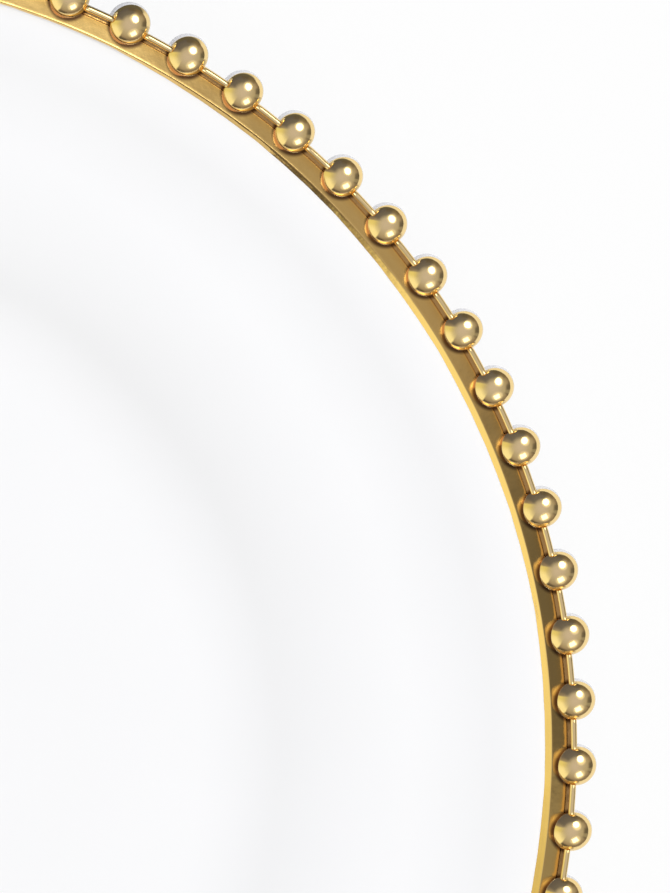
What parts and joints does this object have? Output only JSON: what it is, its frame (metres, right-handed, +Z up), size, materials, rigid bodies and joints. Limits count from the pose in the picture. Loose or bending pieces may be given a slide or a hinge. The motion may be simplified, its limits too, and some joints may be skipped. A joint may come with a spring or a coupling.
{
  "type": "charger plate",
  "caption": "Round white charger plate with a shallow well, a gently curved rim and a gold band edged with gold beads.",
  "frame": {"origin": "centre of the plate on the plane that the foot ring stands on", "axes": "+Z up along the plate's axis; +X passes through the centre of one bead"},
  "size_m": [0.33, 0.33, 0.0185],
  "materials": {
    "body": "smooth glossy white moulding",
    "gold": "mirror-bright gold metallised coat",
    "bead_base": "bare white moulding under the gold"
  },
  "bodies": {
    "root": {"plate_body": "body", "rim_band": "gold", "outer_lip": "gold", "beads": "bead_base", "bead_caps": "gold"}
  },
  "joints": []
}
